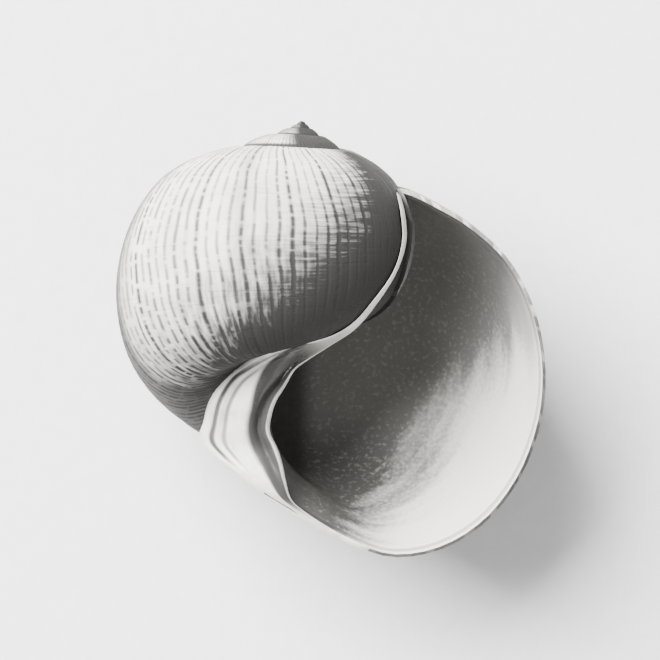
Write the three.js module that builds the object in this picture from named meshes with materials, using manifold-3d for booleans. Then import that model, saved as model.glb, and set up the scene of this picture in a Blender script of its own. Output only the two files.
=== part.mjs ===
// A globose sea-snail shell with a low stepped spire and a very wide aperture, lying on its back
// with the aperture up. It is one grown piece, so it is one solid.
// Millimetres. The finished part has +Z up, +Y towards the apex and +X towards the outer lip.
import * as THREE from "three";
import { mergeVertices } from "three/addons/utils/BufferGeometryUtils.js";
import Module from "manifold-3d";

const wasm = await Module();
wasm.setup();

// Growth. Turns are counted back from the lip, and each turn is smaller by these ratios.
const LAST_TURN_RATIO = 2.25;
const EARLY_RADIUS_RATIO = 2.15;
const EARLY_HEIGHT_RATIO = 1.65;
const TURNS = 5.5;
const OVAL = 0.1; // share by which each turn is narrower on the side away from the lip
const OVAL_SHARPNESS = 3;

// The outside of the last whorl at the lip, from the suture down to the foot of the axis: distance
// from the axis, height below the apex, and degrees that the lip runs ahead of the axial plane.
const WHORL_OUTLINE = [
  [8.6, -5.5, 22],
  [10.7, -5.4, 18],
  [13.4, -6.3, 15],
  [16.8, -7.9, 11],
  [20.2, -10.5, 8],
  [22.8, -14.4, 5],
  [24.2, -18.4, 3],
  [24.7, -22.0, 2],
  [24.5, -25.6, 0],
  [23.4, -29.8, -1.5],
  [20.9, -34.1, -4],
  [17.2, -37.1, -6.5],
  [12.9, -38.3, -9],
  [8.6, -37.3, -12],
  [4.6, -35.7, -12],
  [0.7, -34.0, 0],
];

// The hidden side of the same section: up the axis and just under the skin of the turn before.
const BURIED_OUTLINE = [
  [0.5, -28, 48],
  [0.5, -20, 52],
  [3.6, -15.4, 46],
  [7.2, -14.4, 38],
  [9.6, -11.0, 30],
  [9.3, -7.6, 26],
];

// The pillar that the whorls wind round, as the hollow sees it: distance from the axis, share of
// the way from the base of the turn before to the base of this one, and degrees ahead.
const WHORL_BASE = -38.3;
const PILLAR_OUTLINE = [
  [4.2, 0.16, 32],
  [2.2, 0.34, 48],
  [1.4, 0.52, 58],
  [1.4, 0.68, 48],
  [2.6, 0.8, 14],
];

const PILLAR_SHIFT = -0.75; // how far the same side is moved in X, by these shares, base first
const PILLAR_SHIFT_SHARES = [0.45, 0.85, 1, 0.85, 0.45];
const CAP_CENTRE = [18, -14.5, 10];
// The solid core of the pillar, and the fill round it behind the callus: radius and height.
const CORE_OUTLINE = [
  [0, -1.2],
  [0.05, -1.2],
  [0.8, -24],
  [0.9, -28.5],
  [0, -28.5],
];
const FILL_CENTRE = [-0.6, -23.0, -0.8];
const FILL_RADII = [3.0, 5.2, 2.6];
const LIP_WALL = 0.55;
const WALL = 0.9; // reached a little way behind the lip
const BASE_WALL = 1.5;
const WALL_GROWTH_TURNS = 0.12;
const REST_WALL = 1.3; // more wall over the rest spot, at this turn and share of the outline
const REST_TURN = 0.25;
const REST_TURNS = 0.16;
const REST_SHARE = 0.47;
const REST_SHARES = 0.3;
const GLAZE = 0.36; // shell laid over the turn before, inside the aperture
const THICKNESS_POWER = 0.9; // how slowly both get thinner towards the apex
const HOLLOW_TURNS = 2.0;
const HOLLOW_START = -0.055; // the cutter starts this far outside the lip
const HOLLOW_LEAD = 0.07; // and its inner side runs this much further ahead

// How finely the shell is faceted: steps a turn in each stretch, and points round the section.
const OUTSIDE_STRETCHES = [
  [0, 0.6, 46],
  [0.6, 1.2, 40],
  [1.2, 2.1, 26],
  [2.1, 3.0, 18],
  [3.0, 4.0, 14],
  [4.0, TURNS, 10],
];
const HOLLOW_STRETCHES = [
  [HOLLOW_START, 0.75, 28],
  [0.75, 1.6, 18],
  [1.6, HOLLOW_TURNS, 12],
];
const OUTLINE_POINTS = 22;
const HOLLOW_OUTER_POINTS = 19;
const HOLLOW_INNER_POINTS = 8;
const HOLLOW_OUTER_SPAN = [1 / 21, 19 / 21]; // stretch of the outline that the hollow follows
const HOLLOW_INNER_SPAN = [0.86, 0.27]; // and of the turn before, from its base up to the suture

// The callus beside the aperture: a bar from the suture over the pillar to the base of the lip.
// Each row is its left edge, its right edge, the height of both over the axis, its own rise and how
// deep it fills the hole beside the pillar behind it.
const CALLUS_ROWS = [
  [9.2, -5.8, 9.7, -5.9, 2.2, 2.2, 0.25, 1.5],
  [9.8, -7.6, 10.2, -7.6, 4.2, 3.4, 0.3, 1.5],
  [10.2, -9.8, 10.8, -9.7, 4.9, 3.6, 0.35, 1.5],
  [9.8, -12.6, 10.4, -12.7, 5.9, 4.6, 0.4, 1.5],
  [8.4, -15.5, 9.0, -15.8, 6.8, 5.4, 0.4, 2],
  [6.6, -18.0, 7.2, -18.3, 5.8, 4.2, 0.4, 3],
  [4.2, -19.4, 5.0, -20.2, 6.4, 3.6, 0.4, 4],
  [1.7, -20.2, 3.1, -21.6, 6.4, 2.9, 0.5, 5],
  [-0.5, -21.3, 2.1, -22.6, 5, 2.3, 0.8, 6],
  [-2.5, -22.4, 1.4, -24.2, 2.2, 1.7, 1.2, 6.5],
  [-4.1, -23.7, 0.8, -25.5, 0.8, 1.3, 1.5, 6.5],
  [-5.2, -25.8, 0.4, -27.1, -1.2, 1.1, 1.8, 6],
  [-5.6, -28.3, 0.3, -28.5, -4.2, 1, 2, 5],
  [-5.8, -29.9, 0.4, -30.2, -5.4, 0.9, 1.9, 4],
  [-4.3, -31.2, 0.6, -31.8, -4.6, 0.6, 1.5, 3.2],
  [-2.3, -32.3, 0.9, -32.9, -3, 0.4, 1, 2.6],
  [0.1, -33.8, 2.2, -34.2, -1.6, 0, 0.6, 2],
  [3.1, -35.3, 4.4, -35.1, -1.4, -0.6, 0.4, 1.5],
  [6.8, -36.9, 7.2, -36.5, -1.6, -1.3, 0.3, 1.2],
  [10.1, -38.0, 10.4, -37.6, -2, -1.8, 0.2, 1],
  [11.4, -38.3, 11.5, -37.9, -2.9, -2.8, 0.1, 0.8],
];
const CALLUS_STEPS = 40;
const CALLUS_SIDES = 12;
const CALLUS_DEPTH = 0.9;

// How the shell lies: the spiral's axis leans this far from +Y, and the rest spot is at the origin.
const AXIS_LEAN = 7;
const REST_SPOT_CUT = 1.0;
const REST_SPOT_CENTRE = [0.6, -19.8]; // its X and Y with the apex at zero, before it moves to the origin

const SPECK = 1e-3;

const radians = THREE.MathUtils.degToRad;

function growth(turn) {
  const last = Math.min(turn, 1);
  const early = Math.max(turn - 1, 0);
  const scale = LAST_TURN_RATIO ** -last;
  const side = ((1 - Math.cos(2 * Math.PI * turn)) / 2) ** OVAL_SHARPNESS;
  return {
    radius: scale * EARLY_RADIUS_RATIO ** -early * (1 - OVAL * side),
    height: scale * EARLY_HEIGHT_RATIO ** -early,
  };
}

function curveOf(rows) {
  const points = rows.map((row) => new THREE.Vector3(...row));
  return new THREE.CatmullRomCurve3(points, false, "centripetal");
}

// Points of a curve between two shares of its length.
function pointsBetween(curve, from, to, count) {
  const points = [];
  for (let i = 0; i < count; i++) {
    points.push(curve.getPointAt(from + ((to - from) * i) / (count - 1)));
  }
  return points;
}

const whorlCurve = curveOf(WHORL_OUTLINE);

function scaled(points, turn) {
  const size = growth(turn);
  return points.map((p) => new THREE.Vector3(p.x * size.radius, p.y * size.height, p.z));
}

// Moves a row of section points sideways, to the left of the way the row runs, by the distance
// that is asked for at each share of the row.
function shifted(points, distanceAt) {
  return points.map((p, i) => {
    const distance = distanceAt(i / (points.length - 1));
    const before = points[Math.max(i - 1, 0)];
    const after = points[Math.min(i + 1, points.length - 1)];
    const along = new THREE.Vector2(after.x - before.x, after.y - before.y).normalize();
    return new THREE.Vector3(p.x - along.y * distance, p.y + along.x * distance, p.z);
  });
}

// A section point, which is radius, height and degrees ahead, placed in space at a turn.
function placed(point, turn) {
  const angle = 2 * Math.PI * turn - radians(point.z);
  return new THREE.Vector3(point.x * Math.cos(angle), point.y, -point.x * Math.sin(angle));
}

function outsideRing(turn) {
  const outline = pointsBetween(whorlCurve, 0, 1, OUTLINE_POINTS);
  const buried = BURIED_OUTLINE.map((row) => new THREE.Vector3(...row));
  return scaled([...outline, ...buried], turn).map((p) => placed(p, turn));
}

function pillarPoint([distance, share, ahead], turn) {
  const base = WHORL_BASE * growth(turn).height;
  const baseBefore = WHORL_BASE * growth(turn + 1).height;
  const height = THREE.MathUtils.lerp(baseBefore, base, share);
  return new THREE.Vector3(distance * growth(turn).radius, height, ahead);
}

// Extra wall behind the rest spot, fading out round it.
function restWall(turn, share) {
  const across = Math.min(1, Math.hypot((turn - REST_TURN) / REST_TURNS, (share - REST_SHARE) / REST_SHARES));
  return (REST_WALL * (1 + Math.cos(Math.PI * across))) / 2;
}

function hollowRing(turn) {
  const thinning = growth(Math.max(turn, 0)).radius ** THICKNESS_POWER;
  const behindLip = THREE.MathUtils.clamp(turn / WALL_GROWTH_TURNS, 0, 1);
  const outer = scaled(pointsBetween(whorlCurve, ...HOLLOW_OUTER_SPAN, HOLLOW_OUTER_POINTS), turn);
  const pillar = [...PILLAR_OUTLINE].reverse().map((row) => pillarPoint(row, turn));
  const shift = PILLAR_SHIFT * growth(turn).radius;
  const innerTurn = turn + 1 - HOLLOW_LEAD;
  const inner = scaled(pointsBetween(whorlCurve, ...HOLLOW_INNER_SPAN, HOLLOW_INNER_POINTS), innerTurn);
  const insideOfOuter = shifted(outer, (share) => {
    const wall = THREE.MathUtils.lerp(WALL, BASE_WALL, share ** 2) + restWall(turn, share);
    return -THREE.MathUtils.lerp(LIP_WALL, wall, behindLip) * thinning;
  });
  const overInner = shifted(inner, () => -GLAZE * thinning);
  return [
    ...insideOfOuter.map((p) => placed(p, turn)),
    ...pillar.map((p, i) => placed(p, turn).add(new THREE.Vector3(shift * PILLAR_SHIFT_SHARES[i], 0, 0))),
    ...overInner.map((p) => placed(p, innerTurn)),
  ];
}

function capCentre(turn) {
  return placed(scaled([new THREE.Vector3(...CAP_CENTRE)], turn)[0], turn);
}

// A closed solid from a row of rings with the same number of points and a centre for each end.
function solidFromRings(rings, firstCentre, lastCentre) {
  const sides = rings[0].length;
  const positions = rings.flat().concat([firstCentre, lastCentre]).flatMap((p) => p.toArray());
  const faces = [];
  const first = rings.length * sides;
  const last = first + 1;
  for (let side = 0; side < sides; side++) {
    const next = (side + 1) % sides;
    faces.push(first, next, side);
    faces.push(last, first - sides + side, first - sides + next);
    for (let ring = 0; ring < rings.length - 1; ring++) {
      const here = ring * sides;
      const there = here + sides;
      faces.push(here + side, here + next, there + next);
      faces.push(here + side, there + next, there + side);
    }
  }
  const geometry = new THREE.BufferGeometry();
  geometry.setAttribute("position", new THREE.Float32BufferAttribute(positions, 3));
  geometry.setIndex(faces);
  return solidOf(geometry);
}

function solidOf(geometry) {
  geometry.deleteAttribute("normal");
  geometry.deleteAttribute("uv");
  const merged = mergeVertices(geometry, 1e-5);
  const vertProperties = merged.attributes.position.array;
  const triVerts = new Uint32Array(merged.index.array);
  let made = new wasm.Manifold(new wasm.Mesh({ numProp: 3, vertProperties, triVerts }));
  if (made.volume() < 0) {
    for (let i = 0; i < triVerts.length; i += 3) {
      [triVerts[i], triVerts[i + 1]] = [triVerts[i + 1], triVerts[i]];
    }
    made = new wasm.Manifold(new wasm.Mesh({ numProp: 3, vertProperties, triVerts }));
  }
  return made;
}

// The turns at which rings stand in one stretch, both ends included.
function turnsOf([from, to, stepsPerTurn]) {
  const steps = Math.round((to - from) * stepsPerTurn);
  return Array.from({ length: steps + 1 }, (_, i) => (i === steps ? to : from + ((to - from) * i) / steps));
}

function tube(ringAt, turns) {
  return solidFromRings(turns.map(ringAt), capCentre(turns[0]), capCentre(turns.at(-1)));
}

function joined(solids) {
  return solids.reduce((whole, solid) => whole.add(solid));
}

// A bar with an oval section that runs through the callus rows, as deep as they say or as given.
function callus(rise, shallow) {
  const edges = curveOf(CALLUS_ROWS.map(([leftX, leftY, , , leftZ]) => [leftX, leftY, leftZ]));
  const farEdges = curveOf(CALLUS_ROWS.map(([, , rightX, rightY, , rightZ]) => [rightX, rightY, rightZ]));
  const heights = curveOf(CALLUS_ROWS.map((row, i) => [i, row[6], row[7]]));
  const rings = [];
  for (let step = 0; step <= CALLUS_STEPS; step++) {
    const share = step / CALLUS_STEPS;
    const left = edges.getPoint(share);
    const right = farEdges.getPoint(share);
    const height = heights.getPoint(share).y * rise;
    const depth = shallow ?? heights.getPoint(share).z;
    const ring = [];
    for (let side = 0; side < CALLUS_SIDES; side++) {
      const angle = (2 * Math.PI * side) / CALLUS_SIDES;
      const point = left.clone().lerp(right, (1 - Math.cos(angle)) / 2);
      point.z += Math.sin(angle) * (Math.sin(angle) > 0 ? height : depth);
      ring.push(point);
    }
    rings.push(ring);
  }
  const middle = (ring) => ring.reduce((sum, p) => sum.add(p), new THREE.Vector3()).divideScalar(ring.length);
  return solidFromRings(rings, middle(rings[0]), middle(rings.at(-1)));
}

function core() {
  const outline = CORE_OUTLINE.map(([radius, height]) => new THREE.Vector2(radius, height));
  return solidOf(new THREE.LatheGeometry(outline, 10));
}

function fill() {
  const geometry = new THREE.SphereGeometry(1, 14, 10).scale(...FILL_RADII).translate(...FILL_CENTRE);
  return solidOf(geometry);
}

function boxSolid(width, depth, height, x, y, z) {
  return solidOf(new THREE.BoxGeometry(width, depth, height).translate(x, y, z));
}

// Where surfaces all but touch, joining and cutting leave specks much thinner than a hair. Only the
// body with the most faces is kept, which is the shell. Faces belong together across shared edges.
function withoutSpecks(geometry) {
  const merged = mergeVertices(geometry, SPECK);
  const corners = merged.index.array;
  const faces = [];
  for (let i = 0; i < corners.length; i += 3) {
    const [a, b, c] = corners.slice(i, i + 3);
    if (a !== b && b !== c && c !== a) {
      faces.push([a, b, c]);
    }
  }
  const neighbours = new Map();
  faces.forEach((face, i) => {
    face.forEach((corner, side) => {
      const edge = [corner, face[(side + 1) % 3]].sort((p, q) => p - q).join();
      neighbours.set(edge, [...(neighbours.get(edge) ?? []), i]);
    });
  });
  const bodies = faces.map((_, i) => i);
  const bodyOf = (face) => {
    let body = face;
    while (bodies[body] !== body) {
      body = bodies[body];
    }
    bodies[face] = body;
    return body;
  };
  for (const sharing of neighbours.values()) {
    sharing.forEach((face) => {
      bodies[bodyOf(face)] = bodyOf(sharing[0]);
    });
  }
  const sizes = new Map();
  faces.forEach((_, i) => sizes.set(bodyOf(i), (sizes.get(bodyOf(i)) ?? 0) + 1));
  const [largest] = [...sizes].reduce((best, entry) => (entry[1] > best[1] ? entry : best));
  merged.setIndex(faces.filter((_, i) => bodyOf(i) === largest).flat());
  return merged;
}

function shellGeometry() {
  const whorls = joined(OUTSIDE_STRETCHES.map((stretch) => tube(outsideRing, turnsOf(stretch))));
  const hollow = tube(hollowRing, [...new Set(HOLLOW_STRETCHES.flatMap(turnsOf))]);
  const filled = joined([whorls, core(), fill(), callus(0.5)]);
  const upright = filled.subtract(hollow).add(callus(1, CALLUS_DEPTH));
  const leaning = upright.rotate([0, 0, -AXIS_LEAN]);
  const lowest = leaning.boundingBox().min[2];
  const under = boxSolid(60, 60, 10, 0, -20, lowest + REST_SPOT_CUT - 5);
  const rested = leaning.subtract(under);
  const moved = rested.translate([-REST_SPOT_CENTRE[0], -REST_SPOT_CENTRE[1], -lowest - REST_SPOT_CUT]);
  const mesh = moved.getMesh();
  const geometry = new THREE.BufferGeometry();
  geometry.setAttribute("position", new THREE.BufferAttribute(mesh.vertProperties, 3));
  geometry.setIndex(new THREE.BufferAttribute(mesh.triVerts, 1));
  const body = withoutSpecks(geometry);
  body.computeVertexNormals();
  return body;
}

const shellMaterial = new THREE.MeshStandardMaterial({
  color: 0xe9e6df,
  roughness: 0.45,
  metalness: 0,
});

const shell = new THREE.Mesh(shellGeometry(), shellMaterial);
shell.name = "shell";

const part = new THREE.Group();
part.add(shell);

export default part;
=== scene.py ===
import math

import bpy
import numpy as np
from mathutils import Matrix, Vector


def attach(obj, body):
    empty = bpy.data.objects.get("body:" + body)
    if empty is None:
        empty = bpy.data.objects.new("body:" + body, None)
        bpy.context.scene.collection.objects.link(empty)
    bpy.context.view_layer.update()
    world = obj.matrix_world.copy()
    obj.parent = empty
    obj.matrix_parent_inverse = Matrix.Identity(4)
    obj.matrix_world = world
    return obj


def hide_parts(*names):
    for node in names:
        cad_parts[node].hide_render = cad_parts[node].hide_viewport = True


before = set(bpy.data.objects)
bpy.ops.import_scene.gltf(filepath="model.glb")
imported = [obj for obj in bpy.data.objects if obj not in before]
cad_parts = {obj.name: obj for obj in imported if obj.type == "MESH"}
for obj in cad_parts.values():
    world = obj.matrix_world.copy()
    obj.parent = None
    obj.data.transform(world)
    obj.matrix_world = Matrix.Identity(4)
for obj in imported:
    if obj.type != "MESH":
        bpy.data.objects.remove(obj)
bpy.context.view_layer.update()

# All shell sizes are millimetres in the shell's own frame, with the apex at zero, the spiral's axis
# down -Y and the aperture towards +Z. Turns are counted back from the lip.
MM = 0.001
LAST_TURN_RATIO = 2.25
EARLY_RADIUS_RATIO = 2.15
EARLY_HEIGHT_RATIO = 1.65
TURNS = 5.5
OVAL = 0.1
OVAL_SHARPNESS = 3

# Outside of the last whorl: distance from the axis, height and degrees ahead of the axial plane.
WHORL_OUTLINE = [
    (8.6, -5.5, 22),
    (10.7, -5.4, 18),
    (13.4, -6.3, 15),
    (16.8, -7.9, 11),
    (20.2, -10.5, 8),
    (22.8, -14.4, 5),
    (24.2, -18.4, 3),
    (24.7, -22.0, 2),
    (24.5, -25.6, 0),
    (23.4, -29.8, -1.5),
    (20.9, -34.1, -4),
    (17.2, -37.1, -6.5),
    (12.9, -38.3, -9),
    (8.6, -37.3, -12),
    (4.6, -35.7, -12),
    (0.7, -34.0, 0),
]
BURIED_OUTLINE = [
    (0.5, -28, 48),
    (0.5, -20, 52),
    (3.6, -15.4, 46),
    (7.2, -14.4, 38),
    (9.6, -11.0, 30),
    (9.3, -7.6, 26),
]
WHORL_BASE = -38.3
PILLAR_OUTLINE = [
    (4.2, 0.16, 32),
    (2.2, 0.34, 48),
    (1.4, 0.52, 58),
    (1.4, 0.68, 48),
    (2.6, 0.8, 14),
]
PILLAR_SHIFT = -0.75
CAP_CENTRE = (18, -14.5, 10)

# Thickness of the wall at the lip, behind it and at the base, and of the glaze on the turn before.
LIP_WALL = 0.55
WALL = 0.9
BASE_WALL = 1.5
WALL_GROWTH_TURNS = 0.12
# More wall over the rest spot, round this turn and share of the outline.
REST_WALL = 1.3
REST_TURN, REST_TURNS = 0.25, 0.16
REST_SHARE, REST_SHARES = 0.47, 0.3
GLAZE = 0.36
THICKNESS_POWER = 0.9
HOLLOW_START = -0.1
HOLLOW_LEAD = 0.07
HOLLOW_TURNS = 2.0
HOLLOW_OUTER_SPAN = (1 / 21, 19 / 21)
HOLLOW_INNER_SPAN = (0.86, 0.27)

# Callus beside the aperture, from the suture down: left edge, right edge, height of both over the
# axis, rise, depth of the fill behind it, its own depth and how strongly its folds show.
CALLUS_ROWS = [
    (9.2, -5.7, 9.6, -5.9, 3.9, 3.1, 0.15, 1.5, 0.9, 0),
    (9.8, -7.6, 10.2, -7.6, 5.5, 4.4, 0.25, 1.5, 0.9, 0),
    (10.2, -9.8, 10.6, -9.8, 5.8, 4.7, 0.3, 1.5, 0.9, 0),
    (9.8, -12.6, 10.1, -12.7, 6.7, 5.8, 0.35, 1.5, 0.9, 0),
    (8.3, -15.5, 8.7, -15.7, 7.5, 6.5, 0.35, 2, 1.4, 0),
    (6.5, -18.0, 7.0, -18.3, 7.2, 5.2, 0.35, 3, 2.2, 0),
    (4.2, -19.5, 4.9, -20.1, 6.8, 4.2, 0.35, 4, 3, 0.1),
    (1.7, -20.2, 3.1, -21.6, 6.8, 2.9, 0.5, 5, 3.5, 0.4),
    (-0.5, -21.3, 2.1, -22.6, 5, 2.3, 0.8, 6, 4, 0.8),
    (-2.5, -22.4, 1.4, -24.2, 2.2, 1.7, 1.2, 6.5, 4.3, 1),
    (-4.1, -23.7, 0.8, -25.5, 0.8, 1.3, 1.5, 6.5, 4.5, 1),
    (-5.2, -25.8, 0.5, -27.0, -1.2, 1.1, 1.8, 6, 5, 1),
    (-5.6, -28.3, 0.6, -28.5, -4.2, 0.9, 2, 5, 5, 1),
    (-5.8, -29.9, 1.4, -29.8, -5.4, 0.4, 1.9, 4, 4.5, 0.8),
    (-4.3, -31.2, 2.0, -31.1, -3.8, 0.2, 1.6, 3.2, 4, 0.5),
    (-2.3, -32.3, 2.5, -32.6, -1.7, 0, 1.3, 2.6, 3, 0.2),
    (0.1, -33.8, 3.2, -34.2, -0.9, -0.3, 1, 2, 2, 0),
    (3.1, -35.3, 4.6, -35.2, -1.4, -0.7, 0.5, 1.5, 1.2, 0),
    (6.8, -36.9, 7.3, -36.5, -1.6, -1.2, 0.3, 1.2, 0.9, 0),
    (10.1, -38.0, 10.4, -37.6, -2, -1.8, 0.2, 1, 0.9, 0),
    (11.4, -38.3, 11.5, -37.9, -2.9, -2.8, 0.1, 0.8, 0.9, 0),
]
AXIS_LEAN = 7
# Where the apex and the axis lie once the shell rests on the floor.
LIFT = (-0.6, 19.8, 19.07)

# Growth lines: this many to a turn, and the shallow valleys where growth paused.
LINES_PER_TURN = 76
PAUSE_DEPTH = 0.1
PAUSE_WIDTH = 0.006
PAUSE_TURNS = np.array([0.055, 0.13, 0.205, 0.31, 0.36, 0.47, 0.55, 0.66, 0.71, 0.83, 0.94, 1.2, 1.5, 1.8])
PAUSE_STRENGTHS = np.array([0.8, 0.5, 1.0, 0.5, 0.7, 0.5, 0.9, 0.5, 0.7, 0.6, 0.5, 0.6, 0.6, 0.5])

# Colours. The three dark colours after the grey line are painted shade, standing for the dark hatching of
# the drawing.
CHALK = (0.8, 0.78, 0.74)
CHALK_SHADE = (0.62, 0.6, 0.56)
GREY_LINE = (0.022, 0.0216, 0.0208)
# Painted shade beside the aperture, on the spire's right sides, in the sutures, on the callus folds and in
# the hollow.
PAINTED_SHADE = (0.036, 0.0355, 0.034)
# Painted shade deep in the hollow.
PAINTED_DEEP_SHADE = (0.17, 0.1675, 0.161)
# Painted shade on the lower part of the outside, towards the floor.
PAINTED_UNDERSIDE_SHADE = (0.05, 0.049, 0.047)
PORCELAIN = (0.86, 0.845, 0.81)

# How finely the shell is made. A stretch of whorl is its start, its end and its steps a turn.
OUTLINE_POINTS = 53
HOLLOW_OUTER_POINTS = 46
HOLLOW_INNER_POINTS = 24
PILLAR_POINTS = 14
CALLUS_STATIONS = 170
CALLUS_SIDES = 56
WHORL_STRETCHES = [
    (0, 0.5, 300),
    (0.5, 0.98, 300),
    (0.98, 1.9, 170),
    (1.9, 2.8, 90),
    (2.8, 3.8, 50),
    (3.8, TURNS, 30),
]


def catmull(rows, count, from_share=0.0, to_share=1.0, even=True):
    """Points of a smooth centripetal curve through rows, evenly spaced by length if asked."""
    points = np.array(rows, float)
    ends = np.vstack([2 * points[0] - points[1], points, 2 * points[-1] - points[-2]])
    fine = []
    for i in range(1, len(ends) - 2):
        p = ends[i - 1 : i + 3]
        lengths = np.linalg.norm(np.diff(p, axis=0), axis=1)
        knots = np.concatenate([[0], np.cumsum(np.sqrt(lengths) + 1e-9)])
        steps = np.linspace(knots[1], knots[2], 33)[:-1, None]
        a = [
            (knots[k + 1] - steps) / (knots[k + 1] - knots[k]) * p[k]
            + (steps - knots[k]) / (knots[k + 1] - knots[k]) * p[k + 1]
            for k in range(3)
        ]
        b = [
            (knots[k + 2] - steps) / (knots[k + 2] - knots[k]) * a[k]
            + (steps - knots[k]) / (knots[k + 2] - knots[k]) * a[k + 1]
            for k in range(2)
        ]
        stretch = knots[2] - knots[1]
        fine.append((knots[2] - steps) / stretch * b[0] + (steps - knots[1]) / stretch * b[1])
    fine = np.vstack(fine + [points[-1:]])
    if even:
        along = np.concatenate([[0], np.cumsum(np.linalg.norm(np.diff(fine, axis=0), axis=1))])
    else:
        along = np.arange(len(fine), dtype=float)
    wanted = np.linspace(from_share, to_share, count) * along[-1]
    return np.stack([np.interp(wanted, along, fine[:, k]) for k in range(fine.shape[1])], 1)


def growth(turn):
    turn = np.asarray(turn, float)
    last = np.minimum(turn, 1)
    early = np.maximum(turn - 1, 0)
    scale = LAST_TURN_RATIO**-last
    side = ((1 - np.cos(2 * np.pi * turn)) / 2) ** OVAL_SHARPNESS
    return scale * EARLY_RADIUS_RATIO**-early * (1 - OVAL * side), scale * EARLY_HEIGHT_RATIO**-early


def placed(section, turn):
    """Section points (radius, height, degrees ahead) put in space at a turn."""
    angle = 2 * np.pi * turn - np.radians(section[..., 2])
    radius = section[..., 0]
    return np.stack([radius * np.cos(angle), section[..., 1], -radius * np.sin(angle)], -1)


def scaled(points, turn):
    radius, height = growth(turn)
    return points * np.array([radius, height, 1])


def normals_of(points):
    along = np.empty((len(points), 2))
    along[1:-1] = points[2:, :2] - points[:-2, :2]
    along[0] = points[1, :2] - points[0, :2]
    along[-1] = points[-1, :2] - points[-2, :2]
    along /= np.linalg.norm(along, axis=1)[:, None] + 1e-12
    return np.stack([-along[:, 1], along[:, 0]], 1)


def shifted(points, distance):
    moved = points.copy()
    moved[:, :2] += normals_of(points) * np.reshape(distance, (-1, 1))
    return moved


def pause_strength(turn):
    turn = np.asarray(turn, float)[..., None]
    return (PAUSE_STRENGTHS * np.exp(-(((turn - PAUSE_TURNS) / PAUSE_WIDTH) ** 2))).sum(-1)


def wrapped(name, columns, turns):
    """A closed solid from a grid whose columns of points are given: each column is one ring, and the
    first and last are single points. The UV map holds each point's turn and its share of the ring."""
    columns = np.asarray(columns)
    along, around = columns.shape[:2]
    bpy.ops.object.select_all(action="DESELECT")
    bpy.ops.mesh.primitive_grid_add(x_subdivisions=along - 1, y_subdivisions=around - 1, size=2)
    piece = bpy.context.object
    piece.name = name
    flat = np.empty(len(piece.data.vertices) * 3)
    piece.data.vertices.foreach_get("co", flat)
    flat = flat.reshape(-1, 3)
    i = np.rint((flat[:, 0] + 1) / 2 * (along - 1)).astype(int)
    j = np.rint((flat[:, 1] + 1) / 2 * (around - 1)).astype(int)
    piece.data.vertices.foreach_set("co", (columns[i, j] * MM).ravel())
    corners = np.empty(len(piece.data.loops), int)
    piece.data.loops.foreach_get("vertex_index", corners)
    turns = np.concatenate([turns[:1], turns, turns[-1:]])
    turn_and_share = np.stack([turns[i[corners]], j[corners] / (around - 1)], 1)
    piece.data.uv_layers[0].data.foreach_set("uv", turn_and_share.ravel())
    bpy.ops.object.mode_set(mode="EDIT")
    bpy.ops.mesh.select_all(action="SELECT")
    bpy.ops.mesh.remove_doubles(threshold=1e-8)
    bpy.ops.mesh.normals_make_consistent(inside=False)
    bpy.ops.object.mode_set(mode="OBJECT")
    return piece


def whorl_ring(turn):
    """One ring of the whorl's outside, with the valleys of the pauses pressed in."""
    outline = catmull(WHORL_OUTLINE, OUTLINE_POINTS)
    share = np.linspace(0, 1, OUTLINE_POINTS)
    wander = 0.004 * np.sin(share * 9 + turn * 5) + 0.0025 * np.sin(share * 23 + turn * 11)
    fade = np.clip(share / 0.06, 0, 1) * np.clip((1 - share) / 0.1, 0, 1)
    behind_lip = min(1, max(0, turn / 0.004))
    depth = PAUSE_DEPTH * pause_strength(turn + wander) * fade * growth(turn)[0] ** 0.5 * behind_lip
    section = shifted(scaled(outline, turn), -depth)
    buried = scaled(np.array(BURIED_OUTLINE, float), turn)
    ring = placed(np.vstack([section, buried]), turn)
    return np.vstack([ring, ring[:1]])


def cap_centre(turn):
    return placed(scaled(np.array([CAP_CENTRE], float), turn), turn)[0]


def whorl_stretch(start, end, steps_per_turn):
    turns = np.linspace(start, end, int(round((end - start) * steps_per_turn)) + 1)
    rings = [whorl_ring(turn) for turn in turns]
    first = np.repeat(cap_centre(start)[None], len(rings[0]), 0)
    last = np.repeat(cap_centre(end)[None], len(rings[0]), 0)
    return wrapped("whorl", [first] + rings + [last], turns)


def rest_wall(turn, share):
    across = np.hypot((turn - REST_TURN) / REST_TURNS, (share - REST_SHARE) / REST_SHARES)
    across = np.minimum(1, across)
    return REST_WALL * (1 + np.cos(np.pi * across)) / 2


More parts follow.
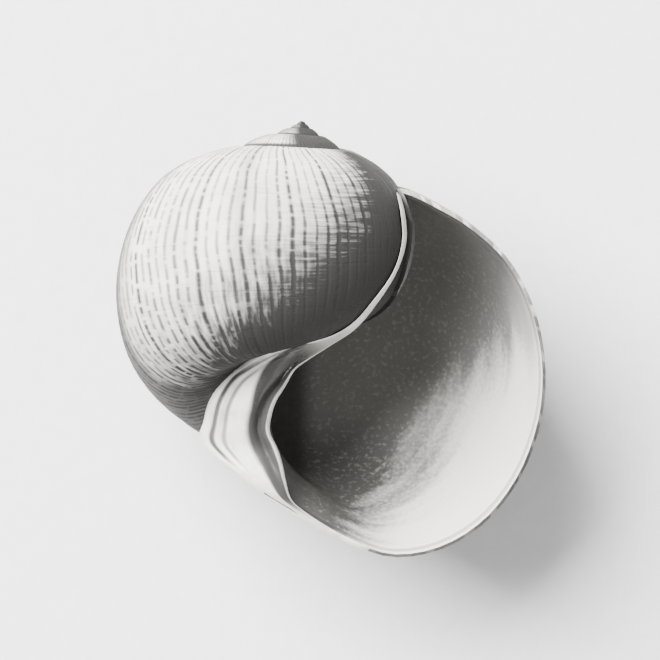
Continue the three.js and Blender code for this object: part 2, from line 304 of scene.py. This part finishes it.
def hollow_ring(turn):
    thinning = growth(max(turn, 0))[0] ** THICKNESS_POWER
    behind = min(1, max(0, turn / WALL_GROWTH_TURNS))
    outer = scaled(catmull(WHORL_OUTLINE, HOLLOW_OUTER_POINTS, *HOLLOW_OUTER_SPAN), turn)
    share = np.linspace(0, 1, len(outer))
    wall = WALL + (BASE_WALL - WALL) * share**2 + rest_wall(turn, share)
    wall = LIP_WALL + (wall - LIP_WALL) * behind
    bevel = 0.25 * min(1, max(0, 1 - turn / 0.008))
    outer = shifted(outer, -(wall - bevel) * thinning)
    base = WHORL_BASE * growth(turn)[1]
    base_before = WHORL_BASE * growth(turn + 1)[1]
    pillar = np.array(PILLAR_OUTLINE[::-1], float)
    pillar[:, 1] = base_before + (base - base_before) * pillar[:, 1]
    pillar[:, 0] *= growth(turn)[0]
    pillar = catmull(pillar, PILLAR_POINTS)
    inner_turn = turn + 1 - HOLLOW_LEAD
    inner = scaled(catmull(WHORL_OUTLINE, HOLLOW_INNER_POINTS, *HOLLOW_INNER_SPAN), inner_turn)
    inner = shifted(inner, -GLAZE * thinning)
    pillar_places = placed(pillar, turn)
    shift_share = np.sin(np.linspace(0.15, 0.85, PILLAR_POINTS) * np.pi)
    pillar_places[:, 0] += PILLAR_SHIFT * growth(turn)[0] * shift_share
    ring = np.vstack([placed(outer, turn), pillar_places, placed(inner, inner_turn)])
    return np.vstack([ring, ring[:1]])


def hollow_cutter():
    turns = np.concatenate(
        [
            np.linspace(HOLLOW_START, -0.004, 4),
            np.linspace(0, 0.012, 7),
            np.linspace(0.02, 0.9, 130),
            np.linspace(0.91, HOLLOW_TURNS, 90),
        ]
    )
    rings = [hollow_ring(turn) for turn in turns]
    first = np.repeat(cap_centre(turns[0])[None], len(rings[0]), 0)
    last = np.repeat(cap_centre(turns[-1])[None], len(rings[0]), 0)
    return wrapped("hollow", [first] + rings + [last], turns)


def bump(across, middle, width):
    return np.exp(-(((across - middle) / width) ** 2))


def callus_piece(name, rise, filling=False):
    """A bar through the callus rows, with folds on top, or the plain fill behind it."""
    stations = catmull(CALLUS_ROWS, CALLUS_STATIONS, even=False)
    angle = np.linspace(0, 2 * np.pi, CALLUS_SIDES + 1)
    across = (1 - np.cos(angle)) / 2
    rings = []
    for left_x, left_y, right_x, right_y, left_z, right_z, height, fill_depth, depth, fold in stations:
        left = np.array([left_x, left_y, left_z])
        right = np.array([right_x, right_y, right_z])
        ring = left + (right - left) * across[:, None]
        top = np.sin(angle) >= 0
        lift = np.sin(angle) * height * rise
        if not filling:
            lift = lift + fold * np.sin(np.clip(angle, 0, np.pi)) ** 0.3 * (
                -0.35 * bump(across, 0.17, 0.03)
                + 0.2 * bump(across, 0.24, 0.025)
                - 0.2 * bump(across, 0.33, 0.03)
                + 0.35 * bump(across, 0.58, 0.14)
                - 0.85 * bump(across, 0.84, 0.075)
                + 0.3 * bump(across, 0.96, 0.025)
            )
        down = np.sin(angle) * (fill_depth if filling else depth)
        ring[:, 2] += np.where(top, lift, down)
        rings.append(ring)
    rings = np.array(rings)
    first = np.repeat(rings[0].mean(0)[None], CALLUS_SIDES + 1, 0)
    last = np.repeat(rings[-1].mean(0)[None], CALLUS_SIDES + 1, 0)
    columns = np.concatenate([first[None], rings, last[None]])
    return wrapped(name, columns, np.linspace(0, 1, len(rings)))


def combine(piece, other, operation):
    """Joins other to piece or cuts it away, and uses it up."""
    step = piece.modifiers.new(operation.lower(), "BOOLEAN")
    step.operation = operation
    step.solver = "MANIFOLD"
    step.object = other
    bpy.context.view_layer.objects.active = piece
    bpy.ops.object.modifier_apply(modifier=step.name)
    bpy.data.objects.remove(other)


def paint(piece, index):
    """Gives every face of a piece the finish of this number: outside, hollow or callus."""
    piece.data.materials.clear()
    for finish in (outside_finish, hollow_finish, callus_finish):
        piece.data.materials.append(finish)
    piece.data.polygons.foreach_set("material_index", [index] * len(piece.data.polygons))


def new_finish(name, colour, roughness):
    finish = bpy.data.materials.new(name)
    finish.use_nodes = True
    shader = finish.node_tree.nodes["Principled BSDF"]
    shader.inputs["Base Color"].default_value = (*colour, 1)
    shader.inputs["Roughness"].default_value = roughness
    return finish


def add(tree, kind, settings=None, **inputs):
    """Adds a node. Inputs are given by name or, as in_0 and so on, by number, as values or sockets."""
    node = tree.nodes.new("ShaderNode" + kind)
    for key, value in (settings or {}).items():
        setattr(node, key, value)
    for key, value in inputs.items():
        socket = node.inputs[int(key[3:]) if key.startswith("in_") else key]
        if isinstance(value, bpy.types.NodeSocket):
            tree.links.new(value, socket)
        else:
            socket.default_value = value
    return node


def maths(tree, operation, first, second=0.0, third=0.0, clamp=False):
    settings = {"operation": operation, "use_clamp": clamp}
    return add(tree, "Math", settings, in_0=first, in_1=second, in_2=third).outputs[0]


def ramped(tree, value, start, end, low=0.0, high=1.0):
    """Goes smoothly from low to high while value goes from start to end."""
    smooth = {"interpolation_type": "SMOOTHSTEP"}
    node = add(tree, "MapRange", smooth, in_0=value, in_1=start, in_2=end, in_3=low, in_4=high)
    return node.outputs[0]


def mixed(tree, share, first, second):
    node = add(tree, "Mix", {"data_type": "RGBA"}, in_0=share, in_6=first, in_7=second)
    return node.outputs[2]


def noise(tree, place, scale, detail=3.0, roughness=0.55):
    node = add(tree, "TexNoise", None, Vector=place, Scale=scale, Detail=detail, Roughness=roughness)
    return node.outputs[0]


def place_at(tree, x, y, z=0.0):
    return add(tree, "CombineXYZ", None, X=x, Y=y, Z=z).outputs[0]


def turn_and_share(tree):
    """How far back from the lip a point is, in turns, and how far round the section."""
    both = add(tree, "SeparateXYZ", None, in_0=add(tree, "TexCoord").outputs["UV"])
    return both.outputs[0], both.outputs[1]


def growth_lines(tree, turn, share, body_place):
    """Thin lines at each step of growth: 1 in the middle of a line, broken up along its length."""
    wander = maths(tree, "MULTIPLY", noise(tree, body_place, 120, 2), 1.1)
    along = maths(tree, "MULTIPLY_ADD", turn, LINES_PER_TURN, wander)
    which = maths(tree, "FLOOR", along)
    off_middle = maths(tree, "ABSOLUTE", maths(tree, "SUBTRACT", maths(tree, "FRACT", along), 0.5))
    own = add(tree, "TexWhiteNoise", {"noise_dimensions": "1D"}, W=which).outputs[0]
    width = maths(tree, "MULTIPLY_ADD", own, 0.12, ramped(tree, turn, 0.78, 0.55, 0.17, 0.28))
    line = maths(tree, "SUBTRACT", 1.0, maths(tree, "DIVIDE", off_middle, width), clamp=True)
    line = maths(tree, "MULTIPLY", line, 1.25, clamp=True)
    break_place = place_at(tree, maths(tree, "MULTIPLY", which, 3.7), maths(tree, "MULTIPLY", share, 60))
    breaks = noise(tree, break_place, 1.0, 1)
    strength = maths(tree, "MULTIPLY_ADD", own, 0.5, 0.5)
    gap = ramped(tree, turn, 0.55, 0.68, 0.0, 0.4)
    line = maths(tree, "MULTIPLY", line, strength)
    return maths(tree, "MULTIPLY", line, ramped(tree, breaks, 0.36, 0.52, gap))


def chalky_outside():
    """Pale and matt, with growth lines, fine spiral striae and painted shade: a band beside the aperture,
    the spire whorls' right sides, the lip's lower end, the sutures and the lower part towards the floor.
    """
    finish = new_finish("chalky_outside", CHALK, 0.6)
    tree = finish.node_tree
    shader = tree.nodes["Principled BSDF"]
    body_place = add(tree, "TexCoord").outputs["Object"]
    turn, share = turn_and_share(tree)
    lines = growth_lines(tree, turn, share, body_place)
    stria_place = place_at(tree, maths(tree, "MULTIPLY", turn, 9), maths(tree, "MULTIPLY", share, 190))
    striae = ramped(tree, noise(tree, stria_place, 1.0, 2), 0.55, 0.72)
    mottle = noise(tree, body_place, 260, 5)
    grain = noise(tree, body_place, 2600, 3)
    pause_place = place_at(tree, maths(tree, "MULTIPLY", turn, 16), 0.0)
    pauses = ramped(tree, noise(tree, pause_place, 1.0, 2), 0.5, 0.7)
    # Painted shade in the sutures, where the whorls meet in a crease.
    suture_share = maths(tree, "MULTIPLY_ADD", ramped(tree, turn, 1.0, 2.0), -0.057, 0.237)
    above_suture = ramped(tree, maths(tree, "SUBTRACT", share, suture_share), -0.034, -0.016)
    above_suture = maths(tree, "MULTIPLY", above_suture, ramped(tree, turn, 0.99, 1.01))
    suture = maths(tree, "MAXIMUM", above_suture, ramped(tree, share, 0.045, 0.02))
    colour = mixed(tree, ramped(tree, mottle, 0.35, 0.7), (*CHALK, 1), (*CHALK_SHADE, 1))
    colour = mixed(tree, maths(tree, "MULTIPLY", pauses, 0.25), colour, (*GREY_LINE, 1))
    colour = mixed(tree, maths(tree, "MULTIPLY", striae, 0.18), colour, (*GREY_LINE, 1))
    # Painted shade over the lower part of the shell, towards the floor.
    height_up = add(tree, "SeparateXYZ", None, in_0=body_place).outputs[2]
    colour = mixed(tree, ramped(tree, height_up, 22.8 * MM, 18.9 * MM, 0, 0.9), colour, (*PAINTED_UNDERSIDE_SHADE, 1))
    # Painted shade in a band beside the aperture, with a ragged edge, on the right side of each spire
    # whorl and at the lip's lower end.
    spiral_place = place_at(tree, maths(tree, "MULTIPLY", turn, 24), maths(tree, "MULTIPLY", share, 150))
    growth_place = place_at(tree, maths(tree, "MULTIPLY", turn, 150), maths(tree, "MULTIPLY", share, 20))
    spiral_noise = noise(tree, spiral_place, 1.0, 3)
    growth_noise = noise(tree, growth_place, 1.0, 3)
    spiral_part = maths(tree, "MULTIPLY", spiral_noise, ramped(tree, turn, 0.68, 0.84))
    growth_part = maths(tree, "MULTIPLY", growth_noise, ramped(tree, turn, 0.84, 0.68))
    edge_noise = maths(tree, "MULTIPLY_ADD", lines, 0.3, maths(tree, "ADD", spiral_part, growth_part))
    towards_mouth = maths(tree, "MULTIPLY_ADD", maths(tree, "MULTIPLY", turn, turn), 0.95, share)
    towards_mouth = maths(tree, "MULTIPLY_ADD", edge_noise, 0.3, towards_mouth)
    towards_mouth = maths(tree, "ADD", ramped(tree, turn, 0.62, 0.48, 0, 0.08), towards_mouth)
    towards_mouth = maths(tree, "ADD", ramped(tree, turn, 0.84, 0.96, 0, 0.12), towards_mouth)
    band_end = ramped(tree, maths(tree, "MULTIPLY_ADD", share, -0.9, turn), 0.98, 0.89)
    shade_band = maths(tree, "MULTIPLY", ramped(tree, towards_mouth, 0.95, 1.17), band_end)
    facing = maths(tree, "MULTIPLY", maths(tree, "SUBTRACT", turn, 0.95), 2 * math.pi)
    facing = ramped(tree, maths(tree, "COSINE", facing), 0.1, 0.5)
    spire_side = maths(tree, "MULTIPLY", facing, ramped(tree, turn, 1.2, 1.4))
    lip_end = maths(tree, "MULTIPLY", ramped(tree, turn, 0.0015, 0.0005), ramped(tree, share, 0.87, 0.9))
    colour = mixed(tree, maths(tree, "MULTIPLY", lines, 0.95), colour, (*GREY_LINE, 1))
    # All three are painted shade.
    outside_shade_mask = maths(tree, "MAXIMUM", shade_band, maths(tree, "MAXIMUM", spire_side, lip_end))
    colour = mixed(tree, outside_shade_mask, colour, (*PAINTED_SHADE, 1))
    # Painted shade in the sutures.
    colour = mixed(tree, maths(tree, "MULTIPLY", suture, 0.97), colour, (*PAINTED_SHADE, 1))
    tree.links.new(colour, shader.inputs["Base Color"])
    shader.inputs["Specular IOR Level"].default_value = 0.03
    tree.links.new(ramped(tree, mottle, 0.3, 0.7, 0.5, 0.68), shader.inputs["Roughness"])
    height = maths(tree, "MULTIPLY_ADD", lines, -0.7, maths(tree, "MULTIPLY", striae, -0.25))
    height = maths(tree, "MULTIPLY_ADD", grain, 0.2, height)
    bump_node = add(tree, "Bump", None, Strength=1.0, Distance=0.06 * MM, Height=height)
    tree.links.new(bump_node.outputs[0], shader.inputs["Normal"])
    return finish


def smooth_hollow():
    """Painted shade deep inside, darker towards the base and beside the callus, and pale towards the outer
    lip, with fine streaks along the growth.
    """
    finish = new_finish("smooth_hollow", CHALK, 0.4)
    tree = finish.node_tree
    shader = tree.nodes["Principled BSDF"]
    shader.inputs["Specular IOR Level"].default_value = 0.12
    body_place = add(tree, "TexCoord").outputs["Object"]
    turn, share = turn_and_share(tree)
    parts = add(tree, "SeparateXYZ", None, in_0=body_place)
    streak_place = place_at(tree, maths(tree, "MULTIPLY", turn, 45), maths(tree, "MULTIPLY", share, 7))
    streaks = noise(tree, streak_place, 1.0, 4)
    specks = noise(tree, body_place, 2600, 3)
    # Painted shade: the mask runs from dark deep inside to the pale wall by the outer lip at the lower
    # right, with a ragged edge.
    outward = maths(tree, "MULTIPLY", parts.outputs[0], 0.72 / MM)
    outward = maths(tree, "MULTIPLY_ADD", parts.outputs[1], -0.7 / MM, outward)
    outward = maths(tree, "MULTIPLY_ADD", streaks, 7.0, outward)
    outward = maths(tree, "MULTIPLY_ADD", specks, 3.0, outward)
    to_base = ramped(tree, parts.outputs[1], -6.0 * MM, -13.0 * MM)
    outward = maths(tree, "MULTIPLY_ADD", to_base, -2.2, outward)
    unshaded = ramped(tree, outward, 15.8, 22.0)
    by_the_lip = maths(tree, "MULTIPLY_ADD", streaks, 3.0 * MM, parts.outputs[0])
    unshaded = maths(tree, "MAXIMUM", unshaded, ramped(tree, by_the_lip, 18.4 * MM, 22.0 * MM, 0, 0.55))
    # The painted shade is darker towards the base.
    hollow_shade_colour = mixed(tree, maths(tree, "MULTIPLY", to_base, 0.7), (*PAINTED_DEEP_SHADE, 1), (*PAINTED_SHADE, 1))
    colour = mixed(tree, unshaded, hollow_shade_colour, (*CHALK, 1))
    colour = mixed(tree, ramped(tree, specks, 0.52, 0.7, 0, 0.16), colour, (*CHALK_SHADE, 1))
    off_lip_line = maths(tree, "ABSOLUTE", maths(tree, "SUBTRACT", turn, 0.0045))
    lip_line = ramped(tree, off_lip_line, 0.003, 0.001, 0, 0.5)
    colour = mixed(tree, lip_line, colour, (*GREY_LINE, 1))
    # Painted shade on the wall beside the callus.
    at_callus = ramped(tree, parts.outputs[0], 1.0 * MM, -1.5 * MM)
    colour = mixed(tree, maths(tree, "MULTIPLY", at_callus, 0.9), colour, (*PAINTED_SHADE, 1))
    tree.links.new(colour, shader.inputs["Base Color"])
    tree.links.new(ramped(tree, streaks, 0.3, 0.7, 0.34, 0.5), shader.inputs["Roughness"])
    height = maths(tree, "MULTIPLY_ADD", specks, 0.3, streaks)
    bump_node = add(tree, "Bump", None, Strength=1.0, Distance=0.04 * MM, Height=height)
    tree.links.new(bump_node.outputs[0], shader.inputs["Normal"])
    return finish


def callus_glaze():
    """Glossy and pale, with painted shade in two grooves on the left and on a flank on the right."""
    finish = new_finish("callus_glaze", PORCELAIN, 0.3)
    tree = finish.node_tree
    shader = tree.nodes["Principled BSDF"]
    shader.inputs["Specular IOR Level"].default_value = 0.3
    body_place = add(tree, "TexCoord").outputs["Object"]
    along, share = turn_and_share(tree)
    cosine = maths(tree, "COSINE", maths(tree, "MULTIPLY", share, 2 * math.pi))
    across = maths(tree, "MULTIPLY_ADD", cosine, -0.5, 0.5)

    def dip(middle, half_width):
        away = maths(tree, "ABSOLUTE", maths(tree, "SUBTRACT", across, middle))
        return ramped(tree, away, half_width, half_width * 0.25)

    # Painted shade in the grooves of the folds and on the flank that faces away from the key light.
    beside_pad = maths(tree, "MULTIPLY", ramped(tree, along, 0.4, 0.5), ramped(tree, along, 0.76, 0.68))
    fold_shade = maths(tree, "MAXIMUM", dip(0.17, 0.06), maths(tree, "MULTIPLY", dip(0.33, 0.05), 0.7))
    fold_shade = maths(tree, "MULTIPLY", fold_shade, beside_pad)
    pad_edge = ramped(tree, along, 0.34, 0.56, 0.12, 0.6)
    flank = ramped(tree, maths(tree, "SUBTRACT", across, pad_edge), 0.0, 0.1)
    flank = maths(tree, "MULTIPLY", flank, ramped(tree, across, 0.965, 0.93))
    flank = maths(tree, "MULTIPLY", flank, ramped(tree, along, 0.24, 0.36))
    flank = maths(tree, "MULTIPLY", flank, ramped(tree, along, 0.9, 0.8))
    fold_shade = maths(tree, "MAXIMUM", fold_shade, flank)
    mottle = noise(tree, body_place, 500, 4)
    colour = mixed(tree, ramped(tree, mottle, 0.4, 0.75), (*PORCELAIN, 1), (*CHALK_SHADE, 1))
    colour = mixed(tree, maths(tree, "MULTIPLY", fold_shade, 0.97), colour, (*PAINTED_SHADE, 1))
    tree.links.new(colour, shader.inputs["Base Color"])
    tree.links.new(ramped(tree, mottle, 0.3, 0.7, 0.24, 0.38), shader.inputs["Roughness"])
    bump_node = add(tree, "Bump", None, Strength=1.0, Distance=0.03 * MM, Height=mottle)
    tree.links.new(bump_node.outputs[0], shader.inputs["Normal"])
    return finish


def pale_floor():
    finish = new_finish("pale_floor", (0.95, 0.95, 0.95), 0.9)
    tree = finish.node_tree
    fibres = noise(tree, add(tree, "TexCoord").outputs["Object"], 700, 3)
    colour = mixed(tree, ramped(tree, fibres, 0.3, 0.7), (0.96, 0.96, 0.96, 1), (0.92, 0.92, 0.92, 1))
    tree.links.new(colour, tree.nodes["Principled BSDF"].inputs["Base Color"])
    return finish


outside_finish = chalky_outside()
hollow_finish = smooth_hollow()
callus_finish = callus_glaze()

whorls = [whorl_stretch(*stretch) for stretch in WHORL_STRETCHES]
shell = whorls[0]
for whorl in whorls:
    paint(whorl, 0)
for whorl in whorls[1:]:
    combine(shell, whorl, "UNION")
plug = callus_piece("plug", 0.1, filling=True)
paint(plug, 0)
combine(shell, plug, "UNION")
hollow = hollow_cutter()
paint(hollow, 1)
combine(shell, hollow, "DIFFERENCE")
callus = callus_piece("callus", 1)
paint(callus, 2)
combine(shell, callus, "UNION")

turned = Matrix.Translation(Vector(LIFT) * MM) @ Matrix.Rotation(math.radians(-AXIS_LEAN), 4, "Z")
shell.data.transform(turned)
bpy.ops.object.select_all(action="DESELECT")
shell.select_set(True)
bpy.context.view_layer.objects.active = shell
bpy.ops.object.mode_set(mode="EDIT")
bpy.ops.mesh.select_all(action="SELECT")
down = (0, 0, -1)
bpy.ops.mesh.bisect(plane_co=(0, 0, 0), plane_no=down, clear_outer=True, use_fill=True, threshold=1e-7)
bpy.ops.object.mode_set(mode="OBJECT")
shell.name = "snail_shell"
bpy.ops.object.shade_smooth_by_angle(angle=math.radians(35))
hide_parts("shell")
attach(shell, "root")

# Floor, camera and lights. The camera looks straight down from this far above the axis, and its
# picture is this wide there.
CAMERA_DISTANCE = 700
PICTURE_WIDTH = 59.4
PICTURE_CENTRE = (1.875, 0.72)
bpy.ops.object.select_all(action="DESELECT")
bpy.ops.mesh.primitive_plane_add(size=3)
floor = bpy.context.object
floor.name = "floor"
floor.data.materials.append(pale_floor())

camera_data = bpy.data.cameras.new("camera")
camera_data.sensor_width = 36
camera_data.lens = camera_data.sensor_width * CAMERA_DISTANCE / PICTURE_WIDTH
camera = bpy.data.objects.new("camera", camera_data)
camera.location = Vector((*PICTURE_CENTRE, LIFT[2] + CAMERA_DISTANCE)) * MM
bpy.context.collection.objects.link(camera)
bpy.context.scene.camera = camera


def area_light(name, place, aim, size, power):
    data = bpy.data.lights.new(name, "AREA")
    data.size = size
    data.energy = power
    light = bpy.data.objects.new(name, data)
    light.location = place
    light.rotation_euler = (Vector(aim) - Vector(place)).to_track_quat("-Z", "Y").to_euler()
    bpy.context.collection.objects.link(light)


area_light("key", (-0.38, 0.38, 0.6), (0, 0, 0.01), 0.6, 40)
area_light("fill", (0.2, -0.3, 0.9), (0, 0, 0.01), 1.2, 2)

world = bpy.data.worlds.new("studio")
bpy.context.scene.world = world
world.use_nodes = True
world.node_tree.nodes["Background"].inputs["Color"].default_value = (1, 1, 1, 1)
world.node_tree.nodes["Background"].inputs["Strength"].default_value = 0.5
